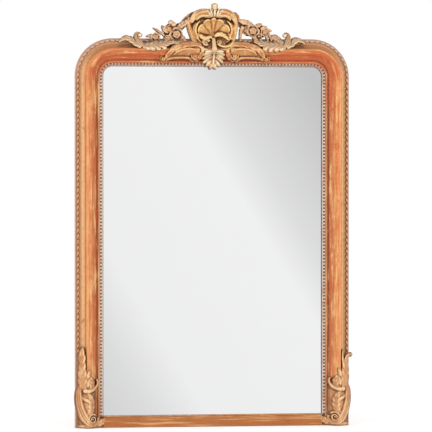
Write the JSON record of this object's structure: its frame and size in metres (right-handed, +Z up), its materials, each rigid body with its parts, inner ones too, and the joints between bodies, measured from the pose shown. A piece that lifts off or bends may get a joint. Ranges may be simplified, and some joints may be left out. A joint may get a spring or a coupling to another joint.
{
  "type": "overmantel mirror",
  "caption": "Tall rectangular mirror in a worn gilt wooden frame with rounded upper corners, pearl beading, pierced shell-and-flower crest and leaf scrolls at the foot.",
  "frame": {"origin": "middle of the bottom edge of the frame's back, where the wall meets the mantel shelf", "axes": "+Z up, front faces -Y, +X to the viewer's right"},
  "size_m": [0.983, 0.084, 1.4799],
  "materials": {
    "gilding": "worn gold leaf over red-brown bole and gesso, satin",
    "pale_gilding": "rubbed pale gold leaf, satin",
    "mirror": "silvered plate glass, polished",
    "pine": "aged, sawn and unpainted",
    "iron": "dark forged iron, dull",
    "steel": "aged steel, satin"
  },
  "bodies": {
    "frame": {"backboard_1": "pine", "backboard_2": "pine", "backboard_3": "pine", "backboard_4": "pine", "backboard_5": "pine", "backboard_6": "pine", "backboard_nails": "iron", "bottom_rail": "gilding", "corner_blocks": "gilding", "corner_tongues": "pine", "crest_board": "pine", "crest_drop_leaf": "pale_gilding", "crest_finial": "gilding", "crest_hood": "gilding", "crest_screws": "steel", "crest_shell": "gilding", "crest_stem": "gilding", "glazing_blocks": "pine", "hanger_screws": "steel", "left_beading": "pale_gilding", "left_bud": "gilding", "left_corner_leaf": "gilding", "left_corner_scroll": "gilding", "left_edging": "gilding", "left_flower_spray": "gilding", "left_foot_leaf": "gilding", "left_hanger_strap": "iron", "left_jamb_scroll": "gilding", "left_rail_acanthus": "gilding", "left_rail_scroll": "gilding", "left_stile": "gilding", "mirror_glass": "mirror", "right_beading": "pale_gilding", "right_bud": "gilding", "right_corner_leaf": "gilding", "right_corner_scroll": "gilding", "right_edging": "gilding", "right_flower_spray": "gilding", "right_foot_leaf": "gilding", "right_hanger_strap": "iron", "right_jamb_scroll": "gilding", "right_rail_acanthus": "gilding", "right_rail_scroll": "gilding", "right_stile": "gilding", "top_beading": "pale_gilding", "top_edging": "gilding", "top_rail": "gilding"},
    "left_ring": {"left_hanger_ring": "iron"},
    "right_ring": {"right_hanger_ring": "iron"}
  },
  "joints": [
    {"name": "left_ring_swing", "type": "hinge", "parent": "frame", "child": "left_ring", "pos_m": [-0.448, -0.00809, 1.08], "axis": [1, 0, 0], "range_deg": [0, 170]},
    {"name": "right_ring_swing", "type": "hinge", "parent": "frame", "child": "right_ring", "pos_m": [0.448, -0.00809, 1.08], "axis": [1, 0, 0], "range_deg": [0, 170]}
  ]
}
